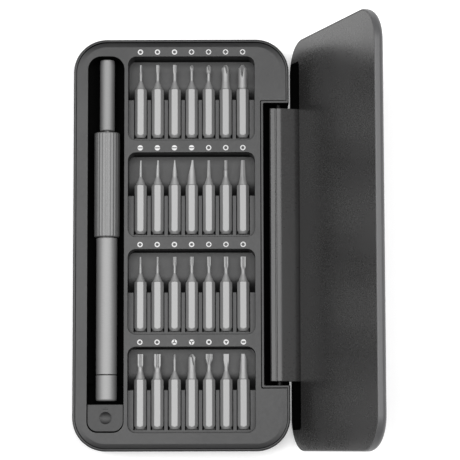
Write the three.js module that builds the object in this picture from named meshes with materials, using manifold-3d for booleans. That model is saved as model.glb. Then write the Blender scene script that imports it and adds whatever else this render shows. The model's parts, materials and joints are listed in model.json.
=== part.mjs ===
// A precision screwdriver set: a hinged flat case with a moulded tray, a slim driver handle and
// four rows of 4 mm hex bits. Millimetres, +Z up, +Y along the case, +X towards the hinge.
// The origin is the centre of the case's underside. The lid stands open.
import * as THREE from "three";
import { mergeVertices } from "three/addons/utils/BufferGeometryUtils.js";
import Module from "manifold-3d";

const wasm = await Module();
wasm.setup();

// ---- driving dimensions ----
const GAP = 0.3; // clearance between neighbouring pieces
const ROUND = 0.3; // share of a corner's radius that a single facet leaves off

const CASE = { width: 81, length: 154.8, corner: 12.5 };
const BASE = { height: 13.8, wall: 1.0, floor: 1.2, foot: 1.5, lip: 0.4 };
const LID = { height: 4, wall: 1.2, plate: 1.2, lip: 0.3, mouth: 0.7, recess: 0.4, openAngle: 109.8 };

const HINGE = { inset: 3.82, depth: 5.77, barrelRadius: 3.5, cornerRadius: 0.9 };
const HINGE_PIN = { radius: 1.0, play: 0.08, insideSpine: 5, outsideNotch: 4 };
const SPINE_LENGTH = 103;
const NOTCH = { depth: 9.65, length: 106.1, wall: 0.9, sill: 2.2 };
const LID_CROWN = 2.4;
const LINER = { wall: 1.3, reliefLength: 139 };

const PANEL_TOP = BASE.height - 0.5;
const TRAY_EDGE = { drop: 0.5, width: 0.6 };
const TRAY_BOTTOM = BASE.floor + GAP;

const WELL = {
  x: -28.2, width: 13.9, top: 71.1, bottom: -70.4, floor: 2.2, bendTop: 8.6, topRadius: 5, endRadius: 4,
};
const POCKET = { x: 3.8, width: 47.6, length: 31.8, pitch: 36.53, firstTop: 70.95, corner: 3 };
const BAY = { length: 15.9, floorHigh: 3.8, floorLow: 2.1, flat: 9 };
const RIB_TOP = 9.8;

const BIT = { flats: 4, shank: 18.8, length: 28, pitch: 6.43, x: 3.87, z: 9.3, tipGap: 2.55 };
const CHANNEL = { width: 4.95, floor: 6.95 };
const MAGNET_STRIP = { width: 44, length: 4, height: 1.6, z: 4.6, back: 20 };

const HANDLE_Z = 7.4;
const SOCKET = {
  radius: 2.8, stemRadius: 2, bore: 4.1, boreDepth: 18, top: 70.5, bottom: 43.4, stemEnd: 36.5,
};
const SOCKET_MAGNET = { radius: 1.6, length: 2 };
const GRIP = { radius: 4.83, flutes: 24, fluteDepth: 0.35, top: 42.6, bottom: 2.9 };
const BODY = { radius: 3.95, top: 2.6, bottom: -48.7, spigotRadius: 2.8, spigotEnd: 11 };
const CAP = { radius: 3.95, top: -49, bottom: -58.6, stemRadius: 1.5, stemEnd: -41.5 };
const BEARING = { radius: 3, bore: 1.8, top: -44, bottom: -47 };
const BODY_BORE = { radius: 3.05, top: -40.5 };

const PAD = { top: 12.3, thick: 1.5, width: 13.1, near: -59.9, far: -69.95 };
const DIMPLE = { radius: 4.2, rise: 3.5 };
const PIVOT = { y: -61.5, z: 9.3, barrelRadius: 1.5, pinRadius: 0.6, play: 0.12 };
const PAD_PIN = { left: 8.9, right: 7.5 };
const KNUCKLE = { inner: 2.5, outer: 6, half: 1.2 };
const WEB = { thick: 1.4, back: 0.4, front: 0.8 };
const SPRING = { turns: 4, width: 3.4, radius: 1.05, wire: 0.2 };
const PAD_ARM = { width: 8, tip: -51.5, bottom: 1.55, top: 2.3, reach: 2.5, play: 0.6 };
const PAD_ROOM_END = -50;
const CRADLE = { length: 6, share: 0.85 };

// Each bit: name, radius of the rod, radius of the drive tip, length of the cone behind the rod.
const BIT_ROWS = [
  [
    ["bit_pentalobe_p2", 0.5, 0.4, 2.5],
    ["bit_pentalobe_p5", 0.62, 0.65, 2.5],
    ["bit_pentalobe_p6", 0.75, 0.8, 2.5],
    ["bit_phillips_ph0000", 0.55, 0.8, 2.5],
    ["bit_phillips_ph000", 0.68, 0.95, 2.5],
    ["bit_phillips_ph00", 1.35, 1.45, 1.8],
    ["bit_phillips_ph1", 1.75, 1.75, 0.6],
  ],
  [
    ["bit_slotted_1_0", 0.55, 0.5, 2.5],
    ["bit_slotted_1_5", 0.7, 0.75, 2.5],
    ["bit_slotted_2_0", 1.0, 1.0, 2.5],
    ["bit_slotted_3_0", 1.35, 1.5, 2.5],
    ["bit_hex_0_9", 0.7, 0.52, 2.6],
    ["bit_hex_1_3", 0.82, 0.65, 2.6],
    ["bit_hex_1_5", 1.0, 0.8, 2.8],
  ],
  [
    ["bit_torx_t2", 0.65, 0.35, 2.5],
    ["bit_torx_t3", 0.65, 0.4, 2.5],
    ["bit_torx_t4", 0.6, 0.6, 2.5],
    ["bit_torx_t5", 0.7, 0.74, 2.5],
    ["bit_torx_t6h", 0.66, 0.72, 2.5],
    ["bit_torx_t8h", 0.75, 0.86, 2.5],
    ["bit_torx_t9h", 0.95, 1.08, 2.8],
  ],
  [
    ["bit_torx_t10h", 1.05, 1.18, 2.8],
    ["bit_torx_t15h", 1.25, 1.38, 2.8],
    ["bit_triwing_y0_6", 0.5, 0.35, 2.6],
    ["bit_triwing_y3_0", 1.35, 1.42, 1.8],
    ["bit_spline_s2", 0.85, 1.35, 3.0],
    ["bit_triangle_2_3", 0.9, 1.15, 3.0],
    ["bit_u_2_6", 1.3, 0.9, 1.8],
  ],
];

const LOOKS = {
  shell: { color: 0x6b6c6e, roughness: 0.45, metalness: 0.6 },
  tray: { color: 0x55565a, roughness: 0.7, metalness: 0 },
  liner: { color: 0x4c4d50, roughness: 0.6, metalness: 0 },
  handle: { color: 0x9b9c9e, roughness: 0.35, metalness: 0.8 },
  grip: { color: 0x85868a, roughness: 0.45, metalness: 0.7 },
  steel: { color: 0xb9babc, roughness: 0.3, metalness: 0.9 },
  magnet: { color: 0x8d8d90, roughness: 0.3, metalness: 0.9 },
};

// ---- solids ----
function solid(geometry) {
  geometry.deleteAttribute("normal");
  geometry.deleteAttribute("uv");
  const merged = mergeVertices(geometry, 1e-4);
  const mesh = new wasm.Mesh({
    numProp: 3,
    vertProperties: merged.attributes.position.array,
    triVerts: new Uint32Array(merged.index.array),
  });
  return new wasm.Manifold(mesh);
}

function named(name, manifold, look) {
  const made = manifold.getMesh();
  const geometry = new THREE.BufferGeometry();
  geometry.setAttribute("position", new THREE.BufferAttribute(made.vertProperties, 3));
  geometry.setIndex(new THREE.BufferAttribute(made.triVerts, 1));
  geometry.computeVertexNormals();
  const mesh = new THREE.Mesh(geometry, new THREE.MeshStandardMaterial(look));
  mesh.name = name;
  return mesh;
}

function block(x0, x1, y0, y1, z0, z1) {
  const box = new THREE.BoxGeometry(x1 - x0, y1 - y0, z1 - z0);
  return solid(box.translate((x0 + x1) / 2, (y0 + y1) / 2, (z0 + z1) / 2));
}

// A rod along Y, from y0 to y1.
function rodY(x, z, radius, y0, y1, sides = 20) {
  const rod = new THREE.CylinderGeometry(radius, radius, y1 - y0, sides);
  return solid(rod.translate(x, (y0 + y1) / 2, z));
}

// A rod along X, from x0 to x1.
function rodX(y, z, radius, x0, x1, sides = 16) {
  const rod = new THREE.CylinderGeometry(radius, radius, x1 - x0, sides);
  return solid(rod.rotateZ(Math.PI / 2).translate((x0 + x1) / 2, y, z));
}

// A turned piece on an axis along Y. The profile is [radius, y] pairs with y rising.
function turned(x, z, profile, sides) {
  const points = profile.map(([radius, y]) => new THREE.Vector2(radius, y));
  return solid(new THREE.LatheGeometry(points, sides).translate(x, 0, z));
}

// A prism of a shape drawn in X and Y, from z0 to z1.
function prism(shape, z0, z1, curveSegments = 5) {
  const options = { depth: z1 - z0, bevelEnabled: false, curveSegments };
  return solid(new THREE.ExtrudeGeometry(shape, options).translate(0, 0, z0));
}

// A rectangle from (x0, y0) to (x1, y1) with the corner radii [low y, high y].
function roundedRect(x0, x1, y0, y1, [low, high]) {
  const shape = new THREE.Shape();
  const quarter = Math.PI / 2;
  shape.absarc(x1 - low, y0 + low, low, -quarter, 0);
  shape.absarc(x1 - high, y1 - high, high, 0, quarter);
  shape.absarc(x0 + high, y1 - high, high, quarter, 2 * quarter);
  shape.absarc(x0 + low, y0 + low, low, 2 * quarter, 3 * quarter);
  return shape;
}

// The case's outline, moved inwards by inset, as points with arcs at the corners.
function outline(inset) {
  const halfWidth = CASE.width / 2 - CASE.corner;
  const halfLength = CASE.length / 2 - CASE.corner;
  const radius = CASE.corner - inset;
  const steps = 8;
  const points = [];
  [
    [1, -1],
    [1, 1],
    [-1, 1],
    [-1, -1],
  ].forEach(([sideX, sideY], corner) => {
    for (let i = 0; i <= steps; i++) {
      const angle = ((corner - 1) * Math.PI) / 2 + (i / steps) * (Math.PI / 2);
      const x = sideX * halfWidth + radius * Math.cos(angle);
      const y = sideY * halfLength + radius * Math.sin(angle);
      points.push([x, y]);
    }
  });
  return points;
}

// A solid that follows the case's outline through layers of [inset, z], with z rising.
function caseLoft(layers) {
  const rings = layers.map(([inset, z]) => outline(inset).map(([x, y]) => [x, y, z]));
  const count = rings[0].length;
  const vertices = rings.flat(2);
  const bottomCentre = vertices.length / 3;
  vertices.push(0, 0, layers[0][1]);
  vertices.push(0, 0, layers.at(-1)[1]);
  const faces = [];
  for (let i = 0; i < count; i++) {
    const next = (i + 1) % count;
    faces.push(bottomCentre, next, i);
    const top = (rings.length - 1) * count;
    faces.push(bottomCentre + 1, top + i, top + next);
    for (let ring = 0; ring + 1 < rings.length; ring++) {
      const low = ring * count;
      const high = low + count;
      faces.push(low + i, low + next, high + next);
      faces.push(low + i, high + next, high + i);
    }
  }
  const geometry = new THREE.BufferGeometry();
  geometry.setAttribute("position", new THREE.Float32BufferAttribute(vertices, 3));
  geometry.setIndex(faces);
  return solid(geometry);
}

// The notch in the case's hinge side, grown outwards by extra.
function notchBlock(extra, z0, z1) {
  const inner = CASE.width / 2 - NOTCH.depth - extra;
  const half = NOTCH.length / 2 + extra;
  return block(inner, CASE.width / 2 + 5, -half, half, z0, z1);
}

// The room that the hinge spine swings in: upright walls over a round trough about the hinge axis.
function spineRoom() {
  const inner = CASE.width / 2 - NOTCH.depth;
  const half = NOTCH.length / 2;
  const top = BASE.height + 1;
  const trough = rodY(hingeX, hingeZ, hingeX - inner, -half, half, 40);
  const beyond = block(hingeX, CASE.width / 2 + 5, -half, half, NOTCH.sill, top);
  return notchBlock(0, hingeZ, top).add(trough).add(beyond);
}

// ---- the case's base ----
const hingeX = CASE.width / 2 - HINGE.inset;
const hingeZ = BASE.height - HINGE.depth;
const pinInner = SPINE_LENGTH / 2 - HINGE_PIN.insideSpine;
const pinOuter = NOTCH.length / 2 + HINGE_PIN.outsideNotch;

// The holes for the two hinge pins.
function pinHoles() {
  const radius = HINGE_PIN.radius + HINGE_PIN.play;
  const front = rodY(hingeX, hingeZ, radius, -pinOuter - GAP, -pinInner + GAP, 16);
  return front.add(rodY(hingeX, hingeZ, radius, pinInner - GAP, pinOuter + GAP, 16));
}

function makeBaseShell() {
  const outer = caseLoft([
    [BASE.foot, 0],
    [BASE.foot * ROUND, BASE.foot * ROUND],
    [0, BASE.foot],
    [0, BASE.height - BASE.lip],
    [BASE.lip, BASE.height],
  ]);
  const top = BASE.height + 1;
  const cavity = caseLoft([
    [BASE.wall, BASE.floor],
    [BASE.wall, top],
  ]).subtract(notchBlock(NOTCH.wall, -1, top + 1));
  const shell = outer.subtract(cavity).subtract(spineRoom());
  return shell.subtract(pinHoles());
}

function makeHingePin(side) {
  const ends = [side * pinInner, side * pinOuter].sort((a, b) => a - b);
  return rodY(hingeX, hingeZ, HINGE_PIN.radius, ends[0], ends[1], 16);
}

// ---- the tray ----
const pocketTop = (row) => POCKET.firstTop - row * POCKET.pitch;
const pocketLeft = POCKET.x - POCKET.width / 2;
const pocketRight = POCKET.x + POCKET.width / 2;
const middleColumn = (BIT_ROWS[0].length - 1) / 2;
const bitX = (column) => BIT.x + (column - middleColumn) * BIT.pitch;
const stripY = (row) => pocketTop(row) - BIT.tipGap - MAGNET_STRIP.back;

// A row's magnet strip, or the slot for it when it is grown by extra and starts at another height.
function stripBlock(row, extra = 0, bottom = MAGNET_STRIP.z) {
  const y = stripY(row);
  const half = { x: MAGNET_STRIP.width / 2 + extra, y: MAGNET_STRIP.length / 2 + extra };
  const top = MAGNET_STRIP.z + MAGNET_STRIP.height + extra;
  return block(BIT.x - half.x, BIT.x + half.x, y - half.y, y + half.y, bottom, top);
}

// The space of one row of bits: the open bay at the tips, and the channels for the shanks.
function pocketCut(row) {
  const top = pocketTop(row);
  const bottom = top - POCKET.length;
  const radii = [POCKET.corner, POCKET.corner];
  const mouth = roundedRect(pocketLeft, pocketRight, bottom, top, radii);
  const ribEdge = top - BAY.length;
  const bay = new THREE.Shape();
  bay.moveTo(-top - 1, BAY.floorHigh);
  bay.lineTo(-top + BAY.flat, BAY.floorHigh);
  bay.lineTo(-ribEdge, BAY.floorLow);
  bay.lineTo(-ribEdge, RIB_TOP);
  bay.lineTo(-bottom + 1, RIB_TOP);
  bay.lineTo(-bottom + 1, PANEL_TOP + 1);
  bay.lineTo(-top - 1, PANEL_TOP + 1);
  const options = { depth: POCKET.width + 2, bevelEnabled: false };
  const section = new THREE.ExtrudeGeometry(bay, options);
  section.applyMatrix4(
    new THREE.Matrix4().makeBasis(
      new THREE.Vector3(0, -1, 0),
      new THREE.Vector3(0, 0, 1),
      new THREE.Vector3(-1, 0, 0),
    ),
  );
  section.translate(pocketRight + 1, 0, 0);
  let cut = prism(mouth, BAY.floorLow - 1, PANEL_TOP + 1).intersect(solid(section));
  for (let column = 0; column < BIT_ROWS[row].length; column++) {
    const x = bitX(column);
    const half = CHANNEL.width / 2;
    const butt = top - BIT.tipGap - BIT.length - GAP;
    cut = cut.add(block(x - half, x + half, butt, ribEdge + 0.5, CHANNEL.floor, RIB_TOP + 1));
  }
  return cut;
}

// The long well of the handle: upright walls over a round bottom, and a flat end under the press pad
// that is open to the case floor.
function wellCut() {
  const left = WELL.x - WELL.width / 2;
  const right = WELL.x + WELL.width / 2;
  const radii = [WELL.endRadius, WELL.topRadius];
  const { bendTop, floor, bottom } = WELL;
  const outlineShape = roundedRect(left, right, bottom, WELL.top, radii);
  const upper = prism(outlineShape, bendTop, PANEL_TOP + 1);
  const round = new THREE.CylinderGeometry(1, 1, WELL.top - PAD_ROOM_END, 36);
  round.scale(WELL.width / 2, 1, bendTop - floor);
  round.translate(WELL.x, (WELL.top + PAD_ROOM_END) / 2, bendTop);
  const trough = solid(round).intersect(prism(outlineShape, 0, bendTop + GAP));
  const padRoom = prism(outlineShape, floor, bendTop + GAP).intersect(
    block(left - 1, right + 1, bottom - 1, PAD_ROOM_END, 0, PANEL_TOP),
  );
  const half = PAD_ARM.width / 2 + PAD_ARM.play;
  const start = PIVOT.y - PAD_ARM.reach;
  const armSlot = block(WELL.x - half, WELL.x + half, start, PAD_ARM.tip + PAD_ARM.play, 0, floor + 3);
  return upper.add(trough).add(padRoom).add(armSlot);
}

// A cradle in the well's bottom, hollowed to a round piece of the handle.
function cradle({ y, radius }) {
  const half = radius * CRADLE.share;
  const y0 = y - CRADLE.length / 2;
  const body = block(WELL.x - half, WELL.x + half, y0, y0 + CRADLE.length, WELL.floor - GAP, HANDLE_Z);
  return body.subtract(rodY(WELL.x, HANDLE_Z, radius + GAP, y0 - 1, y0 + CRADLE.length + 1, 24));
}

// Where the handle rests on a cradle over a magnet: the end's name, its place and its radius there.
const RESTS = [
  { end: "rear", y: 56, radius: SOCKET.radius },
  { end: "front", y: -22, radius: BODY.radius },
];
const HANDLE_MAGNET = { size: 4, bottom: 1.6, height: 0.9 };
const LATCH_MAGNETS = [
  ["rear", 45],
  ["front", -45],
];
const LATCH = { x: -37.3, width: 2.4, length: 9, height: 3, lidHeight: 0.8, skin: 0.5 };

function makeTray() {
  const clearance = BASE.wall + GAP;
  let tray = caseLoft([
    [clearance, TRAY_BOTTOM],
    [clearance, PANEL_TOP - TRAY_EDGE.drop],
    [clearance + TRAY_EDGE.width, PANEL_TOP],
  ]);
  tray = tray.subtract(notchBlock(NOTCH.wall + GAP, 0, PANEL_TOP + 1));
  for (let row = 0; row < BIT_ROWS.length; row++) {
    tray = tray.subtract(pocketCut(row));
    tray = tray.subtract(stripBlock(row, GAP, 0));
  }
  tray = tray.subtract(wellCut());
  const { size, bottom, height } = HANDLE_MAGNET;
  const room = size / 2 + GAP;
  for (const rest of RESTS) {
    const { y } = rest;
    tray = tray.add(cradle(rest));
    tray = tray.subtract(
      block(WELL.x - room, WELL.x + room, y - room, y + room, 0, bottom + height + GAP),
    );
  }
  for (const [, y] of LATCH_MAGNETS) {
    const half = { x: LATCH.width / 2 + GAP, y: LATCH.length / 2 + GAP };
    const x = LATCH.x;
    tray = tray.subtract(block(x - half.x, x + half.x, y - half.y, y + half.y, 0, PANEL_TOP - 1));
  }
  const pinEnds = [WELL.x - PAD_PIN.left - GAP, WELL.x + PAD_PIN.right + GAP];
  tray = tray.subtract(rodX(PIVOT.y, PIVOT.z, PIVOT.pinRadius + PIVOT.play, ...pinEnds));
  const half = NOTCH.length / 2 + NOTCH.wall;
  for (const side of [-1, 1]) {
    const ends = [side * half, side * (pinOuter + 1)].sort((a, b) => a - b);
    tray = tray.subtract(rodY(hingeX, hingeZ, HINGE_PIN.radius + GAP, ends[0], ends[1], 12));
  }
  return tray;
}

function makeHandleMagnet(y) {
  const { size, bottom, height } = HANDLE_MAGNET;
  const half = size / 2;
  return block(WELL.x - half, WELL.x + half, y - half, y + half, bottom, bottom + height);
}

function makeLatchMagnet(x, y, bottom, height) {
  const half = { x: LATCH.width / 2, y: LATCH.length / 2 };
  return block(x - half.x, x + half.x, y - half.y, y + half.y, bottom, bottom + height);
}

// ---- the press pad and its pivot ----
// The ends, in rising X, of a stretch from near to far of the well's middle, on one side of it.
function span(side, near, far) {
  return side < 0 ? [WELL.x - far, WELL.x - near] : [WELL.x + near, WELL.x + far];
}

function makePressPad() {
  const half = PAD.width / 2;
  const radii = [3.6, 0.01];
  const plate = prism(
    roundedRect(WELL.x - half, WELL.x + half, PAD.far, PAD.near, radii),
    PAD.top - PAD.thick,
    PAD.top,
  );
  const dimple = new THREE.SphereGeometry(DIMPLE.radius, 16, 12);
  dimple.translate(WELL.x, (PAD.near + PAD.far) / 2, PAD.top + DIMPLE.rise);
  const { y, z, barrelRadius, pinRadius, play } = PIVOT;
  const armHalf = PAD_ARM.width / 2;
  const { tip, bottom, top } = PAD_ARM;
  const arm = block(WELL.x - armHalf, WELL.x + armHalf, y - WEB.back, tip, bottom, top);
  let pad = plate.subtract(solid(dimple)).add(arm);
  for (const side of [-1, 1]) {
    const [x0, x1] = span(side, KNUCKLE.inner, KNUCKLE.outer);
    const lugTop = PAD.top - PAD.thick / 2;
    pad = pad.add(block(x0, x1, y - KNUCKLE.half, y + KNUCKLE.half, z, lugTop));
    pad = pad.add(rodX(y, z, barrelRadius, x0, x1));
    const [web0, web1] = span(side, armHalf - WEB.thick, armHalf);
    pad = pad.add(block(web0, web1, y - WEB.back, y + WEB.front, PAD_ARM.bottom, z));
  }
  return pad.subtract(rodX(y, z, pinRadius + play, WELL.x - half, WELL.x + half));
}

function makePadPin() {
  return rodX(PIVOT.y, PIVOT.z, PIVOT.pinRadius, WELL.x - PAD_PIN.left, WELL.x + PAD_PIN.right, 12);
}

// The torsion spring's line: a coil round the pad's pin.
class Coil extends THREE.Curve {
  getPoint(t) {
    const angle = t * SPRING.turns * 2 * Math.PI;
    const x = WELL.x + (t - 0.5) * SPRING.width;
    const y = PIVOT.y + SPRING.radius * Math.cos(angle);
    return new THREE.Vector3(x, y, PIVOT.z + SPRING.radius * Math.sin(angle));
  }
}

function makePadSpring() {
  const wire = new THREE.Shape();
  wire.absarc(0, 0, SPRING.wire, 0, 2 * Math.PI);
  const options = { extrudePath: new Coil(), steps: 10 * SPRING.turns, curveSegments: 3 };
  return solid(new THREE.ExtrudeGeometry(wire, options));
}

// ---- the lid, drawn closed ----
const lidBottom = BASE.height + GAP;
const lidTop = lidBottom + LID.height;
const linerFace = lidBottom + LID.recess;
const linerBack = lidTop - LID.plate - GAP;
const spineInner = hingeX - HINGE.barrelRadius;
const linerInset = LID.wall + GAP;

function makeLidShell() {
  const outer = caseLoft([
    [LID.lip, lidBottom],
    [0, lidBottom + LID.lip],
    [0, lidTop - LID_CROWN],
    [LID_CROWN / 8, lidTop - LID_CROWN / 2],
    [LID_CROWN / 2.2, lidTop - LID_CROWN / 7],
    [LID_CROWN, lidTop],
  ]);
  const cavity = caseLoft([
    [LID.mouth, lidBottom - 0.1],
    [LID.wall, lidBottom + LID.recess],
    [LID.wall, lidTop - LID.plate],
  ]);
  return outer.subtract(cavity);
}

function makeLidLiner() {
  const liner = caseLoft([
    [linerInset, linerFace],
    [linerInset, linerBack],
  ]);
  const hollow = caseLoft([
    [linerInset + LINER.wall, linerFace + LINER.wall],
    [linerInset + LINER.wall, linerBack + 1],
  ]);
  const half = LINER.reliefLength / 2;
  let cut = hollow.add(
    block(spineInner - GAP, CASE.width / 2, -half, half, linerFace - 1, linerBack + 1),
  );
  for (const [, y] of LATCH_MAGNETS) {
    const room = { x: LATCH.width / 2 + GAP, y: LATCH.length / 2 + GAP };
    const x = LATCH.x;
    cut = cut.add(
      block(x - room.x, x + room.x, y - room.y, y + room.y, linerFace + LATCH.skin, linerBack + 1),
    );
  }
  return liner.subtract(cut);
}

// The spine's barrel has one squared corner: its two faces lie level and upright when the lid is open.
function makeHingeSpine() {
  const section = new THREE.Shape();
  const outer = hingeX + HINGE.barrelRadius;
  const upper = CASE.width / 2 - LID.wall - GAP;
  section.moveTo(spineInner, -linerBack);
  section.lineTo(spineInner, -hingeZ);
  const { barrelRadius, cornerRadius } = HINGE;
  const level = (1.5 - LID.openAngle / 180) * Math.PI;
  const side = level - Math.PI / 2;
  const reach = barrelRadius - cornerRadius;
  const cornerX = hingeX + reach * (Math.cos(level) + Math.cos(side));
  const cornerZ = -hingeZ + reach * (Math.sin(level) + Math.sin(side));
  section.absarc(hingeX, -hingeZ, barrelRadius, Math.PI, level, true);
  section.absarc(cornerX, cornerZ, cornerRadius, level, side, true);
  section.absarc(hingeX, -hingeZ, barrelRadius, side, 0, true);
  section.lineTo(outer, -BASE.height);
  section.lineTo(upper, -BASE.height);
  section.lineTo(upper, -linerBack);
  const options = { depth: SPINE_LENGTH, bevelEnabled: false, curveSegments: 14 };
  const spine = new THREE.ExtrudeGeometry(section, options);
  spine.rotateX(-Math.PI / 2).translate(0, -SPINE_LENGTH / 2, 0);
  return solid(spine).subtract(pinHoles());
}

// ---- the driver handle ----
const handlePiece = (profile, sides) => turned(WELL.x, HANDLE_Z, profile, sides);

// A hexagonal prism along Y with flats facing up and down.
function hexPrism(x, z, flats, y0, y1) {
  const prismShape = new THREE.CylinderGeometry(flats / Math.sqrt(3), flats / Math.sqrt(3), y1 - y0, 6);
  return solid(prismShape.rotateY(Math.PI / 6).translate(x, (y0 + y1) / 2, z));
}

function makeBitSocket() {
  const { radius, stemRadius, top, bottom, stemEnd, bore, boreDepth } = SOCKET;
  const body = handlePiece(
    [
      [0, stemEnd],
      [stemRadius, stemEnd],
      [stemRadius, bottom],
      [radius - 0.4, bottom],
      [radius, bottom + 0.4],
      [radius, top - 0.6],
      [radius - 0.5, top],
      [0, top],
    ],
    28,
  );
  const end = top - boreDepth;
  const magnetRoom = rodY(
    WELL.x, HANDLE_Z, SOCKET_MAGNET.radius + GAP, end - SOCKET_MAGNET.length - GAP, end + 1, 16,
  );
  const hexBore = hexPrism(WELL.x, HANDLE_Z, bore, top - boreDepth, top + 1);
  return body.subtract(hexBore).subtract(magnetRoom);
}

function makeSocketMagnet() {
  const end = SOCKET.top - SOCKET.boreDepth;
  return rodY(WELL.x, HANDLE_Z, SOCKET_MAGNET.radius, end - SOCKET_MAGNET.length, end, 16);
}

function makeGrip() {
  const shape = new THREE.Shape();
  const { radius, flutes, fluteDepth, top, bottom } = GRIP;
  for (let i = 0; i < flutes; i++) {
    for (const [share, depth] of [
      [0, 0],
      [0.5, 0],
      [0.62, fluteDepth],
      [0.88, fluteDepth],
    ]) {
      const angle = ((i + share) / flutes) * 2 * Math.PI;
      const r = radius - depth;
      const point = [r * Math.cos(angle), r * Math.sin(angle)];
      if (i === 0 && share === 0) shape.moveTo(...point);
      else shape.lineTo(...point);
    }
  }
  const options = { depth: top - bottom, bevelEnabled: false };
  const sleeve = new THREE.ExtrudeGeometry(shape, options);
  sleeve.rotateX(-Math.PI / 2).translate(WELL.x, bottom, HANDLE_Z);
  const chamfered = handlePiece(
    [
      [0, bottom],
      [radius - 0.5, bottom],
      [radius + 0.1, bottom + 0.6],
      [radius + 0.1, top - 0.6],
      [radius - 0.5, top],
      [0, top],
    ],
    32,
  );
  const stemRoom = rodY(WELL.x, HANDLE_Z, SOCKET.stemRadius + GAP, SOCKET.stemEnd - GAP, top + 1);
  const spigotRoom = rodY(WELL.x, HANDLE_Z, BODY.spigotRadius + GAP, bottom - 1, BODY.spigotEnd + GAP);
  return solid(sleeve).intersect(chamfered).subtract(stemRoom).subtract(spigotRoom);
}

function makeHandleBody() {
  const { radius, top, bottom, spigotRadius, spigotEnd } = BODY;
  const body = handlePiece(
    [
      [0, bottom],
      [radius - 0.15, bottom],
      [radius, bottom + 0.15],
      [radius, top - 0.3],
      [radius - 0.3, top],
      [spigotRadius, top],
      [spigotRadius, spigotEnd],
      [0, spigotEnd],
    ],
    36,
  );
  return body.subtract(rodY(WELL.x, HANDLE_Z, BODY_BORE.radius, bottom - 1, BODY_BORE.top, 24));
}

function makeBearing() {
  const { radius, bore, top, bottom } = BEARING;
  const middle = (top + bottom) / 2;
  const race = rodY(WELL.x, HANDLE_Z, radius - 0.1, bottom, top, 24);
  return race.subtract(rodY(WELL.x, HANDLE_Z, bore, middle - 3, middle + 3, 20));
}

function makeSwivelCap() {
  const { radius, top, bottom, stemRadius, stemEnd } = CAP;
  return handlePiece(
    [
      [0, bottom],
      [radius - 1.9, bottom],
      [radius - 0.95, bottom + 0.3],
      [radius - 0.25, bottom + 1],
      [radius, bottom + 2],
      [radius, top - 0.15],
      [radius - 0.15, top],
      [stemRadius, top],
      [stemRadius, stemEnd],
      [0, stemEnd],
    ],
    36,
  );
}

// ---- the bits ----
function makeBit(x, tipY, [, rodRadius, tipRadius, cone]) {
  const butt = tipY - BIT.length;
  const shankEnd = butt + BIT.shank;
  const shoulder = 2.15;
  const front = turned(
    x,
    BIT.z,
    [
      [0, shankEnd - 0.5],
      [shoulder, shankEnd - 0.5],
      [shoulder, shankEnd],
      [rodRadius, shankEnd + cone],
      [rodRadius, tipY - 3],
      [tipRadius, tipY - 2],
      [tipRadius * 0.8, tipY],
      [0, tipY],
    ],
    10,
  );
  return hexPrism(x, BIT.z, BIT.flats, butt, shankEnd).add(front);
}

// ---- the assembly ----
const set = new THREE.Group();
const lid = new THREE.Group();
const lidParts = new THREE.Group();
const { shell, tray, liner, handle, grip, steel, magnet } = LOOKS;

set.add(named("base_shell", makeBaseShell(), shell));
set.add(named("bit_tray", makeTray(), tray));
set.add(named("hinge_pin_rear", makeHingePin(1), steel));
set.add(named("hinge_pin_front", makeHingePin(-1), steel));
for (const { end, y } of RESTS) {
  set.add(named("handle_magnet_" + end, makeHandleMagnet(y), magnet));
}
for (const [end, y] of LATCH_MAGNETS) {
  const bottom = PANEL_TOP - 1 - GAP - LATCH.height;
  set.add(named("base_magnet_" + end, makeLatchMagnet(LATCH.x, y, bottom, LATCH.height), magnet));
}
set.add(named("press_pad", makePressPad(), tray));
set.add(named("press_pad_pin", makePadPin(), steel));
set.add(named("press_pad_spring", makePadSpring(), steel));

set.add(named("bit_socket", makeBitSocket(), steel));
set.add(named("socket_magnet", makeSocketMagnet(), magnet));
set.add(named("handle_grip", makeGrip(), grip));
set.add(named("handle_body", makeHandleBody(), handle));
set.add(named("cap_bearing", makeBearing(), steel));
set.add(named("swivel_cap", makeSwivelCap(), handle));

BIT_ROWS.forEach((bits, row) => {
  set.add(named("bit_magnet_" + (row + 1), stripBlock(row), magnet));
  bits.forEach((bit, column) => {
    const tipY = pocketTop(row) - BIT.tipGap;
    set.add(named(bit[0], makeBit(bitX(column), tipY, bit), steel));
  });
});

lidParts.add(named("lid_shell", makeLidShell(), shell));
lidParts.add(named("lid_liner", makeLidLiner(), liner));
lidParts.add(named("hinge_spine", makeHingeSpine(), liner));
for (const [end, y] of LATCH_MAGNETS) {
  const piece = makeLatchMagnet(LATCH.x, y, linerFace + LATCH.skin + GAP / 2, LATCH.lidHeight);
  lidParts.add(named("lid_magnet_" + end, piece, magnet));
}
lidParts.position.set(-hingeX, 0, -hingeZ);
lid.add(lidParts);
lid.position.set(hingeX, 0, hingeZ);
lid.rotation.y = THREE.MathUtils.degToRad(LID.openAngle);
set.add(lid);

export default set;
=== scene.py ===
"""The looks of a precision screwdriver set: a hinged case, a moulded tray, a driver and 28 bits.

Lengths in the geometry are millimetres, and solid() turns them into metres. +Z is up, +Y runs along
the case towards the driver's bit socket, and +X points at the hinge and the open lid.
"""
import json
import math

import bmesh
import bpy
from mathutils import Matrix, Vector


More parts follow.
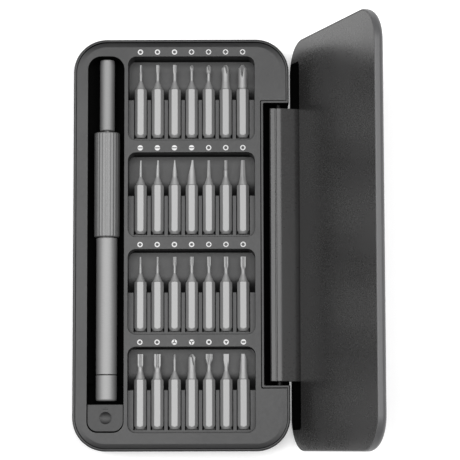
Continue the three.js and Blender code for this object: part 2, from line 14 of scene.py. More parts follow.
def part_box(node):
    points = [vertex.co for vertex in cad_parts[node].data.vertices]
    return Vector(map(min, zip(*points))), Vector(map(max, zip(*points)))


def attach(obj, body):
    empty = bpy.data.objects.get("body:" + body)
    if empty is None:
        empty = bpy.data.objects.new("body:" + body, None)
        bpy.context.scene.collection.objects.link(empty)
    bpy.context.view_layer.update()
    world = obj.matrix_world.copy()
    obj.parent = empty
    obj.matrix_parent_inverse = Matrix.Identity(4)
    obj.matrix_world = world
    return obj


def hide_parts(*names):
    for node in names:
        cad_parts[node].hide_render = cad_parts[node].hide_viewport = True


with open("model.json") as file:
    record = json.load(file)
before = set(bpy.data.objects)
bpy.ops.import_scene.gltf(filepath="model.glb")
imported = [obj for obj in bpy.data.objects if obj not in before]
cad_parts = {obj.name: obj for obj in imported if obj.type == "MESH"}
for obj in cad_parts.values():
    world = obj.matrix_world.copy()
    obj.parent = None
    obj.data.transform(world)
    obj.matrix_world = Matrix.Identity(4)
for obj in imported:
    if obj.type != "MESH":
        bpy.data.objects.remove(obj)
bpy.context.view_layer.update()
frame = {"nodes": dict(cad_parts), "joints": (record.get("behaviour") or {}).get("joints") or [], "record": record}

MM = 0.001


def box_mm(node):
    """A CAD node's lowest and highest corners, in millimetres."""
    low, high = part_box(node)
    return low / MM, high / MM


# ---- sizes in millimetres, from the frame and from the object's mouldings ----
GAP = 0.3
OVERLAP = 0.1
BEYOND = 5
_, shell_high = box_mm("base_shell")
tray_low, tray_high = box_mm("bit_tray")
HALF_X = shell_high.x
HALF_Y = shell_high.y
RIM = shell_high.z
PANEL = tray_high.z
TRAY_BOTTOM = tray_low.z

CORNER = 12.5
WALL = 1.0
FLOOR = 1.2
FOOT_ROUND = 1.5
FLOOR_ROUND = 0.5
LIP = {"outer": 0.62, "inner": 0.22}

hinge = next(joint for joint in frame["joints"] if joint["name"] == "lid_hinge")
HINGE_X = hinge["pos_m"][0] / MM
HINGE_Z = hinge["pos_m"][2] / MM
OPEN_ANGLE = math.radians(-hinge["range_deg"][0])

BARREL_RADIUS = 3.5
BARREL_CORNER = 0.9
BARREL_GROOVE = [(0.75, 0), (0.95, 0.3), (1.25, 0.3), (1.45, 0)]
PIN_HOLE = 1.08
PIN_REACH = {"base": (40, 58), "spine": (46, 53)}
SPINE_HALF = box_mm("hinge_spine")[1].y
SPINE_ENDS = [(0.3, 0), (0.09, 0.09), (0, 0.3)]
NOTCH = {"inner": HALF_X - 9.65, "half": SPINE_HALF + 1.55, "wall": 0.9, "corner": 0.4}
CHEEK = {"round": 0.2, "bottom": 0.6, "inset": 0.5, "corner": 0.5}

LID_WALL = 1.2
LID_LOW = RIM + GAP
LID_HIGH = LID_LOW + 4
LID_CROWN = (2.6, 2.4)
LID_LIP = {"round": 0.38, "inner": 0.44, "chamfer": 0.06, "height": 0.75, "slope": 0.05}
LID_INSIDE_ROUND = 0.6
LINER_FACE = LID_LOW + 0.03
LINER_BACK = LID_HIGH - LID_WALL - GAP
LINER = {"edge": 0.6, "round": 0.1, "step": 0.5, "step_top": 0.55, "under": 0.62, "wall": 1.3}
RELIEF = {"half": 69.5, "beyond_barrel": 2.6, "corner": 1.5}

nose_low, nose_high = box_mm("bit_socket")
grip_low, grip_high = box_mm("handle_grip")
body_low, body_high = box_mm("handle_body")
cap_low, cap_high = box_mm("swivel_cap")
pad_low, pad_high = box_mm("press_pad")
AXIS_X = (body_low.x + body_high.x) / 2
AXIS_Z = (body_low.z + body_high.z) / 2

WELL = {"half": 6.95, "top": 71.1, "bottom": -70.4, "floor": 2.2, "high": 5, "low": 4, "rim": 0.12}
WELL_CENTRE = 8.6
WELL_TRIM = 0.2
WELL_STEPS = 14
TROUGH_START = -60
PAD_ROOM_END = -52
POCKET = {"x": 3.8, "half": 23.8, "length": 31.8, "corner": 3, "rim": 0.15}
BAY = {"length": 15.9, "floor": 3.8, "low": 1.9, "round": 0.8, "level": 9, "slope": 6.4}
RIB_TOP = 9.8
RIB_ROUND = 0.25
CHANNEL = {"half": 2.475, "floor": 6.95, "edge": 0.2, "round": 0.6}
TIP_GAP = 2.55
BIT_FLATS = 4
BIT_SHANK = 18.8
BIT_LENGTH = 28

subparts = frame["record"]["subparts"]
bit_nodes = [part["node"] for part in subparts if part["material_slot"] == "bit_steel"]
BIT_ROWS = [bit_nodes[start : start + 7] for start in range(0, len(bit_nodes), 7)]


def bit_place(node):
    """A bit's axis X, axis Z and tip Y, in millimetres."""
    low, high = box_mm(node)
    return (low.x + high.x) / 2, (low.z + high.z) / 2, high.y


# ---- meshes ----
def piece_from(name, maker):
    """A new piece from the mesh being made, with its faces turned outward."""
    mesh = bpy.data.meshes.new(name)
    bmesh.ops.recalc_face_normals(maker, faces=maker.faces)
    maker.to_mesh(mesh)
    maker.free()
    piece = bpy.data.objects.new(name, mesh)
    bpy.context.scene.collection.objects.link(piece)
    return piece


def skin(maker, rows):
    """Faces between neighbouring rows of vertices, where each row is closed on itself."""
    for low, high in zip(rows, rows[1:]):
        for i in range(len(low)):
            j = (i + 1) % len(low)
            maker.faces.new((low[i], low[j], high[j], high[i]))


def solid(name, rings):
    """A closed skin through rings of points with equal counts, capped at both ends."""
    maker = bmesh.new()
    rows = [[maker.verts.new(Vector(point) * MM) for point in ring] for ring in rings]
    skin(maker, rows)
    maker.faces.new(reversed(rows[0]))
    maker.faces.new(rows[-1])
    return piece_from(name, maker)


def bake(piece):
    """Makes the piece's modifiers part of its mesh."""
    graph = bpy.context.evaluated_depsgraph_get()
    made = bpy.data.meshes.new_from_object(piece.evaluated_get(graph))
    piece.modifiers.clear()
    old = piece.data
    piece.data = made
    bpy.data.meshes.remove(old)


def combine(piece, others, operation="DIFFERENCE"):
    """Cuts the other solids from the piece, or joins them to it, and removes them."""
    for other in others:
        step = piece.modifiers.new(other.name, "BOOLEAN")
        step.object = other
        step.operation = operation
        step.solver = "MANIFOLD"
    bake(piece)
    for other in others:
        mesh = other.data
        bpy.data.objects.remove(other)
        bpy.data.meshes.remove(mesh)
    return piece


def shade(piece, sharp=32):
    """Smooth shading that keeps edges over the sharp angle, with large faces kept flat."""
    clean = bmesh.new()
    clean.from_mesh(piece.data)
    bmesh.ops.remove_doubles(clean, verts=clean.verts, dist=2e-6)
    bmesh.ops.dissolve_degenerate(clean, edges=clean.edges, dist=1e-6)
    clean.to_mesh(piece.data)
    clean.free()
    for polygon in piece.data.polygons:
        polygon.use_smooth = True
    piece.data.set_sharp_from_angle(angle=math.radians(sharp))
    even = piece.modifiers.new("even", "WEIGHTED_NORMAL")
    even.keep_sharp = True
    bake(piece)
    return piece


def arc(centre, radius, start, end, steps):
    """Points on an arc from the start angle to the end angle, in degrees. Radius may be a pair."""
    wide, tall = radius if isinstance(radius, tuple) else (radius, radius)
    points = []
    for i in range(steps + 1):
        angle = math.radians(start + (end - start) * i / steps)
        points.append((centre[0] + wide * math.cos(angle), centre[1] + tall * math.sin(angle)))
    return points


def rounded(x0, x1, y0, y1, low, high, steps=10):
    """A rounded rectangle's points, with corner radius low at y0 and high at y1."""
    corners = [(x1 - low, y0 + low, low, -90), (x1 - high, y1 - high, high, 0)]
    corners += [(x0 + high, y1 - high, high, 90), (x0 + low, y0 + low, low, 180)]
    points = []
    for x, y, radius, start in corners:
        points += arc((x, y), radius, start, start + 90, steps)
    return points


def case_loft(name, profile, steps=18):
    """The case's outline lofted through a profile of [inset, z] points."""
    rings = []
    for inset, z in profile:
        x, y, radius = HALF_X - inset, HALF_Y - inset, CORNER - inset
        rings.append([(px, py, z) for px, py in rounded(-x, x, -y, y, radius, radius, steps)])
    return solid(name, rings)


def rect_loft(name, profile, corners, low, high=None, steps=10):
    """A rounded rectangle x0, x1, y0, y1 lofted through a profile of [inset, z] points."""
    x0, x1, y0, y1 = corners
    rings = []
    for inset, z in profile:
        radii = [max(radius - inset, 0.02) for radius in (low, low if high is None else high)]
        ring = rounded(x0 + inset, x1 - inset, y0 + inset, y1 - inset, *radii, steps)
        rings.append([(x, y, z) for x, y in ring])
    return solid(name, rings)


def hole(radius, top, bottom, steps=4):
    """The profile of a hole whose rim at height top is rounded to that radius."""
    return [(0, bottom)] + arc((-radius, top - radius), radius, 0, 90, steps) + [(-radius, top + 1)]


def boss(radius, top, bottom, steps=4):
    """The profile of a raised block whose top edge is rounded to that radius."""
    return [(0, bottom)] + arc((radius, top - radius), radius, 180, 90, steps)


def extruded(name, section, along, start, end):
    """A section of (across, z) points, pushed along X or Y from start to end."""
    if along == "Y":
        rings = [[(u, at, v) for u, v in section] for at in (start, end)]
    else:
        rings = [[(at, u, v) for u, v in section] for at in (start, end)]
    return solid(name, rings)


def block(name, x0, x1, y0, y1, z0, z1):
    return extruded(name, [(x0, z0), (x1, z0), (x1, z1), (x0, z1)], "Y", y0, y1)


def around(x, z, radius, sides=64, start=0):
    """A circle's points about an axis along Y, as (x, z)."""
    turn = [start + 2 * math.pi * i / sides for i in range(sides)]
    return [(x + radius * math.cos(a), z + radius * math.sin(a)) for a in turn]


def turned(name, x, z, profile, sides=64):
    """A turned piece on an axis along Y, from a profile of (radius, y) points."""
    rings = [[(px, y, pz) for px, pz in around(x, z, radius, sides)] for radius, y in profile]
    return solid(name, rings)


def rod(name, x, z, radius, y0, y1, sides=32):
    return turned(name, x, z, [(radius, y0), (radius, y1)], sides)


# ---- materials ----
MOTTLE_SCALE = 38
NOISE_LOW, NOISE_HIGH = 0.3, 0.7
UNEVEN = 0.05
BUMP_DEPTH = 0.0001


def add_noise(made, source, scale, detail):
    texture = made.node_tree.nodes.new("ShaderNodeTexNoise")
    texture.inputs["Scale"].default_value = scale
    texture.inputs["Detail"].default_value = detail
    made.node_tree.links.new(source, texture.inputs["Vector"])
    return texture.outputs["Fac"]


def add_tint(made, pattern, color, mottle):
    """Colours the surface between a darker and a lighter tone of the color."""
    ramp = made.node_tree.nodes.new("ShaderNodeValToRGB")
    low, high = ramp.color_ramp.elements
    low.position = NOISE_LOW
    high.position = NOISE_HIGH
    low.color = (*[channel * (1 - mottle) for channel in color], 1)
    high.color = (*[channel * (1 + mottle) for channel in color], 1)
    made.node_tree.links.new(pattern, ramp.inputs["Fac"])
    shader = made.node_tree.nodes["Principled BSDF"]
    made.node_tree.links.new(ramp.outputs["Color"], shader.inputs["Base Color"])


def add_roughness(made, pattern, roughness):
    """Lets the roughness vary a little to both sides of its value."""
    rough = made.node_tree.nodes.new("ShaderNodeMapRange")
    rough.inputs["From Min"].default_value = NOISE_LOW
    rough.inputs["From Max"].default_value = NOISE_HIGH
    rough.inputs["To Min"].default_value = roughness - UNEVEN
    rough.inputs["To Max"].default_value = roughness + UNEVEN
    made.node_tree.links.new(pattern, rough.inputs["Value"])
    shader = made.node_tree.nodes["Principled BSDF"]
    made.node_tree.links.new(rough.outputs["Result"], shader.inputs["Roughness"])


def add_bump(made, height, strength):
    relief = made.node_tree.nodes.new("ShaderNodeBump")
    relief.inputs["Strength"].default_value = strength
    relief.inputs["Distance"].default_value = BUMP_DEPTH
    made.node_tree.links.new(height, relief.inputs["Height"])
    shader = made.node_tree.nodes["Principled BSDF"]
    made.node_tree.links.new(relief.outputs["Normal"], shader.inputs["Normal"])


def material(name, color, roughness, metallic=0.0, grain=900, bump=0.03, mottle=0.12, stretch=(1, 1, 1)):
    """A surface with fine grain, slow mottling and uneven roughness, from noise in the piece's own space."""
    made = bpy.data.materials.new(name)
    made.use_nodes = True
    nodes, links = made.node_tree.nodes, made.node_tree.links
    nodes["Principled BSDF"].inputs["Metallic"].default_value = metallic
    place = nodes.new("ShaderNodeTexCoord").outputs["Object"]
    scale = nodes.new("ShaderNodeMapping")
    scale.inputs["Scale"].default_value = stretch
    links.new(place, scale.inputs["Vector"])
    fine = add_noise(made, scale.outputs["Vector"], grain, 3)
    slow = add_noise(made, place, MOTTLE_SCALE, 2)
    both = nodes.new("ShaderNodeMix")
    both.inputs["Factor"].default_value = 0.5
    links.new(fine, both.inputs["A"])
    links.new(slow, both.inputs["B"])
    add_tint(made, both.outputs["Result"], color, mottle)
    add_roughness(made, both.outputs["Result"], roughness)
    add_bump(made, fine, bump)
    return made


def grey(value):
    return (value, value, value)


def painted_shade_material(name):
    """A near-black material that gives back almost no light: painted shade for deep hollows and inner faces."""
    made = material(name, grey(0.002), 0.9, grain=2200, bump=0.3)
    made.node_tree.nodes["Principled BSDF"].inputs["Specular IOR Level"].default_value = 0.05
    return made


looks = {
    "case": material("case_anodised", (0.012, 0.012, 0.0125), 0.42, grain=1500, bump=0.05),
    # The lid's cover has the case's finish painted several times lighter: painted light for the cover's lit free
    # edge.
    "lid": material("case_anodised_painted_lighter", (0.08, 0.08, 0.082), 0.42, grain=1500, bump=0.03),
    # The pad has the tray's finish painted darker: painted shade for the pad, which sits below the panel.
    "pad": material("tray_moulded_painted_darker", (0.006, 0.006, 0.0062), 0.47, grain=1100, bump=0.08),
    "tray": material("tray_moulded", (0.009, 0.009, 0.0095), 0.42, grain=1100, bump=0.08),
    # painted shade: a near-black material for the well, the inner faces of the base and lid, and the pad's
    # underside
    "painted_shade": painted_shade_material("well_painted_shade"),
    "liner": material("liner_moulded", (0.031, 0.0305, 0.0305), 0.28, grain=1200, bump=0.015),
    "tube": material("tube_anodised", grey(0.25), 0.55, 0.45, grain=700, bump=0.04, stretch=(1, 9, 1)),
    "grip": material("grip_anodised", grey(0.19), 0.55, 0.45, grain=900, bump=0.05),
    "nose": material("nose_steel", grey(0.205), 0.55, 0.45, grain=700, bump=0.04, stretch=(1, 9, 1)),
    "bit": material("bit_plated", grey(0.30), 0.55, 0.45, grain=1400, bump=0.05, stretch=(3, 1, 3)),
    "pin": material("pin_blackened", grey(0.02), 0.5, 1.0, grain=900, bump=0.04),
    "steel": material("steel_drawn", grey(0.28), 0.4, 1.0, grain=900, bump=0.04),
    "magnet": material("magnet_nickel", grey(0.4), 0.3, 1.0, grain=800, bump=0.03),
    "ink": material("ink_white", grey(0.62), 0.6, grain=2500, bump=0.02, mottle=0.06),
}


def dress(piece, look, body, slot, *nodes, sharp=32):
    """Shades a piece, gives it its material and its body, and stands it for CAD nodes. The slot argument is not
    used.
    """
    shade(piece, sharp)
    piece.data.materials.clear()
    piece.data.materials.append(looks[look])
    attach(piece, body)
    if nodes:
        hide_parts(*nodes)
    return piece


def add_painted_shade(piece, where):
    """Gives painted shade, a near-black second material, to the faces whose middle, in millimetres, passes the
    test.
    """
    piece.data.materials.append(looks["painted_shade"])
    for face in piece.data.polygons:
        if where(face.center / MM):
            face.material_index = 1


# ---- the case's base ----
def notch_corners(grow=0.0):
    """The notch's rounded rectangle, which runs out past the case's side."""
    return NOTCH["inner"] - grow, HALF_X + BEYOND, -NOTCH["half"] - grow, NOTCH["half"] + grow


def pin_holes(start, end):
    """The spaces for the two hinge pins, between these distances from the case's middle."""
    spaces = []
    for side in (-1, 1):
        y0, y1 = sorted((side * start, side * end))
        spaces.append(rod("pin_hole", HINGE_X, HINGE_Z, PIN_HOLE, y0, y1))
    return spaces


def within_case(at, inset):
    """Whether a point is further than inset inside the case's rounded outline."""
    across = max(abs(at.x) - HALF_X + CORNER, 0)
    along = max(abs(at.y) - HALF_Y + CORNER, 0)
    return math.hypot(across, along) < CORNER - inset


def inside_base(at):
    """Whether a point is on the base's inner faces."""
    return within_case(at, WALL - 0.1) and 1 < at.z < RIM - 0.6


def make_case_base():
    """A tray-shaped shell with a rounded foot and lip, and a walled notch for the hinge spine."""
    profile = arc((FOOT_ROUND, FOOT_ROUND), FOOT_ROUND, 270, 180, 7)
    profile += arc((LIP["outer"], RIM - LIP["outer"]), LIP["outer"], 180, 108, 6)
    profile += arc((WALL - LIP["inner"], RIM - LIP["inner"]), LIP["inner"], 100, 0, 4)
    profile += arc((WALL + FLOOR_ROUND, FLOOR + FLOOR_ROUND), FLOOR_ROUND, 180, 270, 4)
    shell = case_loft("case_base", profile)
    x0, _, y0, y1 = notch_corners(NOTCH["wall"])
    corners = (x0, HALF_X - CHEEK["inset"], y0, y1)
    cheek = rect_loft("cheek", boss(CHEEK["round"], RIM, CHEEK["bottom"]), corners, CHEEK["corner"])
    combine(shell, [cheek], "UNION")
    opening = rect_loft("opening", hole(CHEEK["round"], RIM, HINGE_Z), notch_corners(), NOTCH["corner"])
    reach = HINGE_X - NOTCH["inner"]
    trough = rod("trough", HINGE_X, HINGE_Z, reach, -NOTCH["half"], NOTCH["half"], 96)
    low = HINGE_Z - reach
    beyond = block("beyond", HINGE_X, HALF_X + BEYOND, -NOTCH["half"], NOTCH["half"], low, RIM)
    combine(shell, [opening, trough, beyond, *pin_holes(*PIN_REACH["base"])])
    dress(shell, "case", "base", "case_shell", "base_shell")
    # Painted shade: the base's inner faces, under the tray and in the notch, get the near-black material.
    add_painted_shade(shell, inside_base)


# ---- the tray ----
PIVOT = {"y": -61.5, "z": 9.3}
ARM_SLOT = {"half": 4.6, "start": -64.0, "end": -50.0, "top": 5}
BORDER = {"edge": WALL + 0.1, "chamfer": 0.12, "drop": 0.38, "foot": 0.5}
BORDER_TOP = [(1.55, -0.05), (1.9, 0)]
LEVEL = {"within": 0.7, "least": 0.12, "power": 1.5}
NOTCH_CLEARANCE = 0.16


def well_section():
    """The well's upright walls, which turn into a round bottom under the driver."""
    half = WELL["half"]
    bottom = arc((AXIS_X, WELL_CENTRE), (half, WELL_CENTRE - WELL["floor"]), 180, 360, 28)
    return [(AXIS_X - half, PANEL + 2)] + bottom + [(AXIS_X + half, PANEL + 2)]


def well_cutters():
    """The driver's well: its mouth, the trough under the driver, and the room for the press pad."""
    x0, x1 = AXIS_X - WELL["half"], AXIS_X + WELL["half"] - WELL_TRIM
    corners = (x0, x1, WELL["bottom"], WELL["top"])
    radii = (WELL["low"], WELL["high"])
    top = WELL_CENTRE + OVERLAP
    mouth = rect_loft("mouth", hole(WELL["rim"], PANEL, WELL_CENTRE), corners, *radii, WELL_STEPS)
    trough = extruded("trough", well_section(), "Y", TROUGH_START, WELL["top"] + 2)
    limit = rect_loft("limit", [(0, 1), (0, top)], corners, *radii, WELL_STEPS)
    combine(trough, [limit], "INTERSECT")
    room = (x0, x1, WELL["bottom"], PAD_ROOM_END)
    end = rect_loft("pad_room", [(0, WELL["floor"]), (0, top)], room, WELL["low"], 0.1, WELL_STEPS)
    x0, x1 = AXIS_X - ARM_SLOT["half"], AXIS_X + ARM_SLOT["half"]
    slot = block("arm_slot", x0, x1, ARM_SLOT["start"], ARM_SLOT["end"], 0, ARM_SLOT["top"])
    return [mouth, trough, end, slot]


def pocket_cutters(top):
    """One row's pocket: its mouth, and the open bay at the tips with a floor that curves down."""
    x0, x1 = POCKET["x"] - POCKET["half"], POCKET["x"] + POCKET["half"]
    corners = (x0, x1, top - POCKET["length"], top)
    mouth = rect_loft("mouth", hole(POCKET["rim"], PANEL, RIB_TOP), corners, POCKET["corner"])
    ribs = top - BAY["length"]
    drop = BAY["floor"] - BAY["low"]
    floor = arc((top - BAY["round"], BAY["floor"] + BAY["round"]), BAY["round"], 0, -90, 5)
    for part in (0, 0.2, 0.4, 0.6, 0.8, 1.0):
        floor.append((top - BAY["level"] - BAY["slope"] * part, BAY["floor"] - drop * part * part))
    edge = arc((ribs - RIB_ROUND, RIB_TOP - RIB_ROUND), RIB_ROUND, 0, 90, 4)
    section = [(top, RIB_TOP + 1)] + floor + [(ribs, BAY["low"])] + edge
    section += [(ribs - RIB_ROUND, RIB_TOP + 1)]
    bay = extruded("bay", section, "X", x0 - 1, x1 + 1)
    limit = rect_loft("limit", [(0, 1), (0, RIB_TOP + 0.5)], corners, POCKET["corner"])
    combine(bay, [limit], "INTERSECT")
    return [mouth, bay]


def channel_cutter(x, tip):
    """The channel that one shank lies in, with rounded edges and a rounded floor."""
    side, low = x - CHANNEL["half"], CHANNEL["floor"]
    edge, curve = CHANNEL["edge"], CHANNEL["round"]
    section = [(side - edge, RIB_TOP + 1)]
    section += arc((side - edge, RIB_TOP - edge), edge, 90, 0, 3)
    section += arc((side + curve, low + curve), curve, 180, 270, 4)
    section += [(2 * x - u, v) for u, v in reversed(section)]
    ribs = tip + TIP_GAP - BAY["length"]
    return extruded("channel", section, "Y", tip - BIT_LENGTH - GAP, ribs + 0.5)


def magnet_slots():
    """The slots in the tray's underside for the magnets, each a little larger than its magnet."""
    slots = []
    for part in subparts:
        if part["node"].startswith(("bit_magnet", "handle_magnet", "base_magnet")):
            low, high = box_mm(part["node"])
            sides = (low.x - GAP, high.x + GAP, low.y - GAP, high.y + GAP)
            slots.append(block("slot", *sides, 0, high.z + GAP))
    return slots


def level_sides(tray):
    """Flattens the border's slope along the long sides, so that it fades out round the corners."""
    for vertex in tray.data.vertices:
        drop = PANEL - vertex.co.z / MM
        if drop < LEVEL["within"]:
            along = max(abs(vertex.co.y) / MM - (HALF_Y - CORNER), 0) / CORNER
            kept = LEVEL["least"] + (1 - LEVEL["least"]) * min(along, 1) ** LEVEL["power"]
            vertex.co.z = (PANEL - drop * kept) * MM


def make_tray():
    """The dark moulding with a sloping border, the driver's well and four pockets."""
    edge = BORDER["edge"]
    profile = [(edge, TRAY_BOTTOM), (edge, PANEL - BORDER["foot"])]
    profile += [(edge + BORDER["chamfer"], PANEL - BORDER["drop"])]
    profile += [(edge + inset, PANEL + rise) for inset, rise in BORDER_TOP]
    tray = case_loft("bit_tray_panel", profile)
    level_sides(tray)
    corners = notch_corners(NOTCH["wall"] + NOTCH_CLEARANCE)
    relief = rect_loft("relief", hole(POCKET["rim"], PANEL, 0), corners, CHEEK["corner"])
    cutters = [relief, *well_cutters()]
    for row in BIT_ROWS:
        places = [bit_place(node) for node in row]
        cutters += pocket_cutters(places[0][2] + TIP_GAP)
        cutters += [channel_cutter(x, tip) for x, _, tip in places]
    combine(tray, cutters + magnet_slots())
    dress(tray, "tray", "base", "tray_plastic", "bit_tray")
    # Painted shade: the faces down in the driver's well get the near-black material.
    add_painted_shade(tray, in_well)


def in_well(at):
    """Whether a point is down in the driver's well."""
    return abs(at.x - AXIS_X) < WELL["half"] + 0.05 and at.z < PANEL - 0.3


# ---- the press pad ----
PAD = {"top": 12.3, "thick": 1.5, "chamfer": 0.15, "round": 0.25, "corner": 3.8, "end": -59.9}
PAD_GROW = {"left": 0.3, "right": 0.08, "near": 0.1}
DIMPLE = {"depth": 0.55, "radius": 2.35, "reach": math.pi / 5, "rings": 24}
LUG = {"radius": 1.5, "neck": 1.2, "inner": 2.5, "outer": 6}
WEB = {"outer": 4, "inner": 2.6, "before": 0.4, "behind": 0.8, "foot": 1.6}
PAD_ARM = {"half": 4, "top": 2.3, "chamfer": 0.15, "corner": 0.4}
MARK = {"y": 3.3, "half": 1.1, "line": 0.16, "dot": 0.2, "dot_y": 0.55, "rise": 0.1, "edge": 0.06}


def make_dimple(y):
    """The space of a shallow spherical dimple in the pad's top at Y."""
    depth, radius = DIMPLE["depth"], DIMPLE["radius"]
    ball = (radius**2 + depth**2) / (2 * depth)
    centre = PAD["top"] - depth + ball
    rings = []
    for i in range(1, DIMPLE["rings"]):
        angle = DIMPLE["reach"] * i / DIMPLE["rings"]
        z = centre - ball * math.cos(angle)
        rings.append([(AXIS_X + u, y + v, z) for u, v in around(0, 0, ball * math.sin(angle))])
    return solid("dimple", rings)


def pad_supports():
    """The lugs that turn on the pin, the webs below them, and the arm that reaches under the cap."""
    top = PAD["top"] - 1.3
    pieces = []
    for side in (-1, 1):
        x0, x1 = sorted((AXIS_X + side * LUG["inner"], AXIS_X + side * LUG["outer"]))
        section = arc((PIVOT["y"], PIVOT["z"]), LUG["radius"], 150, 390, 16)
        section += [(PIVOT["y"] + LUG["neck"], top), (PIVOT["y"] - LUG["neck"], top)]
        pieces.append(extruded("lug", section, "X", x0, x1))
        x0, x1 = sorted((AXIS_X + side * WEB["outer"], AXIS_X + side * WEB["inner"]))
        y0, y1 = PIVOT["y"] - WEB["before"], PIVOT["y"] + WEB["behind"]
        pieces.append(block("web", x0, x1, y0, y1, WEB["foot"], PIVOT["z"]))
    corners = (AXIS_X - PAD_ARM["half"], AXIS_X + PAD_ARM["half"], PIVOT["y"] - WEB["before"], pad_high.y)
    profile = [(0, pad_low.z), (0, PAD_ARM["top"] - PAD_ARM["chamfer"]), (PAD_ARM["chamfer"], PAD_ARM["top"])]
    pieces.append(rect_loft("arm", profile, corners, PAD_ARM["corner"]))
    return pieces


def pad_marks(y):
    """A raised bar and dot on the pad at Y."""
    profile = boss(MARK["edge"], PAD["top"] + MARK["rise"], PAD["top"] - 2 * MARK["rise"])
    bar = (AXIS_X - MARK["half"], AXIS_X + MARK["half"], y - MARK["line"], y + MARK["line"])
    middle = y + MARK["dot_y"]
    dot = (AXIS_X - MARK["dot"], AXIS_X + MARK["dot"], middle - MARK["dot"], middle + MARK["dot"])
    return [rect_loft("bar", profile, bar, 0.1), rect_loft("dot", profile, dot, MARK["dot"] - 0.01)]


def make_press_pad():
    """A plate with rounded edges and a round dimple, on two lugs and an arm that reaches under the cap."""
    top = PAD["top"]
    x0, x1 = pad_low.x - PAD_GROW["left"], pad_high.x + PAD_GROW["right"]
    corners = (x0, x1, pad_low.y - PAD_GROW["near"], PAD["end"])
    side = top - PAD["thick"] + PAD["chamfer"]
    profile = [(PAD["chamfer"], top - PAD["thick"]), (0, side)] + boss(PAD["round"], top, side)[1:]
    plate = rect_loft("press_pad_plate", profile, corners, PAD["corner"], 0.3, 12)
    middle = (corners[2] + corners[3]) / 2
    combine(plate, [make_dimple(middle)])
    combine(plate, pad_supports() + pad_marks(middle + MARK["y"]), "UNION")
    dress(plate, "pad", "press_pad", "tray_plastic", "press_pad")
    # Painted shade: the pad's underside, lugs, webs and arm get the near-black material.
    add_painted_shade(plate, lambda at: at.z < top - PAD["thick"] - 0.1)


# ---- the lid, made closed and turned open about the hinge ----
def open_lid(piece):
    """Turns a piece that was made closed to where it lies on the open lid."""
    pivot = Vector((HINGE_X, 0, HINGE_Z)) * MM
    turn = Matrix.Translation(pivot) @ Matrix.Rotation(OPEN_ANGLE, 4, "Y") @ Matrix.Translation(-pivot)
    piece.data.transform(turn)
    return piece


def make_lid_shell():
    """A shallow cover with a soft outer edge and a thin chamfered lip."""
    curve, lip = LID_INSIDE_ROUND, LID_LIP
    inner = arc((LID_WALL + curve, LID_HIGH - LID_WALL - curve), curve, 90, 180, 4)
    rim = [(LID_WALL, LID_LOW + lip["height"]), (lip["inner"], LID_LOW + lip["height"] - lip["slope"])]
    rim += [(lip["inner"], LID_LOW + lip["chamfer"]), (lip["inner"] - lip["chamfer"], LID_LOW)]
    outer = arc((lip["round"], LID_LOW + lip["round"]), lip["round"], 250, 180, 4)
    crown = arc((LID_CROWN[0], LID_HIGH - LID_CROWN[1]), LID_CROWN, 180, 90, 12)
    return case_loft("lid_cover", inner + rim + outer + crown)


def make_lid_liner():
    """The sheet inside the lid, cut back along the hinge for the spine, and hollowed behind."""
    inset = LID_WALL + GAP
    profile = arc((LINER["edge"], LINER_FACE + LINER["round"]), LINER["round"], 270, 180, 3)
    profile += [(LINER["step"], LINER_FACE + LINER["step_top"])]
    profile += [(inset, LINER_FACE + LINER["under"]), (inset, LINER_BACK)]
    liner = case_loft("lid_liner_sheet", profile)
    wall = LINER["wall"]
    hollow = case_loft("hollow", [(inset + wall, LINER_FACE + wall), (inset + wall, LINER_BACK + 1)])
    inner = HINGE_X - BARREL_RADIUS - RELIEF["beyond_barrel"]
    corners = (inner, HALF_X + BEYOND, -RELIEF["half"], RELIEF["half"])
    profile = [(0, LINER_FACE - 1), (0, LINER_BACK + 1)]
    relief = rect_loft("relief", profile, corners, RELIEF["corner"])
    return combine(liner, [hollow, relief])


def face_point(level, along, depth):
    """A point on the barrel's face that lies level when the lid is open, or that deep inside it."""
    across, up = math.radians(level + 90), math.radians(level)
    x = HINGE_X + along * math.cos(across) + (BARREL_RADIUS - depth) * math.cos(up)
    return x, HINGE_Z + along * math.sin(across) + (BARREL_RADIUS - depth) * math.sin(up)


def make_spine():
    """The thick tongue that fills the case's notch, with a grooved barrel whose one corner is squared."""
    inner = HINGE_X - BARREL_RADIUS
    upper = HALF_X - LID_WALL - GAP
    outer = HINGE_X + BARREL_RADIUS
    level = 90 + math.degrees(OPEN_ANGLE)
    side = level + 90
    section = [(inner, LINER_BACK)] + arc((HINGE_X, HINGE_Z), BARREL_RADIUS, 180, level, 5)
    section += [face_point(level, along, depth) for along, depth in BARREL_GROOVE]
    corner = face_point(level, BARREL_RADIUS - BARREL_CORNER, BARREL_CORNER)
    section += arc(corner, BARREL_CORNER, level, side, 8)
    section += arc((HINGE_X, HINGE_Z), BARREL_RADIUS, side, 360, 14)
    section += [(outer, RIM), (upper, RIM), (upper, LINER_BACK)]
    count = len(section)
    middle = (sum(u for u, _ in section) / count, sum(v for _, v in section) / count)
    ends = [(inset, away - SPINE_HALF) for inset, away in SPINE_ENDS]
    ends += [(inset, SPINE_HALF - away) for inset, away in reversed(SPINE_ENDS)]
    rings = [[shrunk(point, middle, inset, y) for point in section] for inset, y in ends]
    return combine(solid("hinge_tongue", rings), pin_holes(*PIN_REACH["spine"]))


def shrunk(point, middle, inset, y):
    """A section point moved towards the middle by inset, at Y."""
    away = Vector(point) - Vector(middle)
    near = Vector(middle) + away * (1 - inset / away.length)
    return near.x, y, near.y


def closed(point):
    """Where a point of the open lid lies when the lid is closed."""
    pivot = Vector((HINGE_X, 0, HINGE_Z))
    return pivot + Matrix.Rotation(-OPEN_ANGLE, 3, "Y") @ (point - pivot)


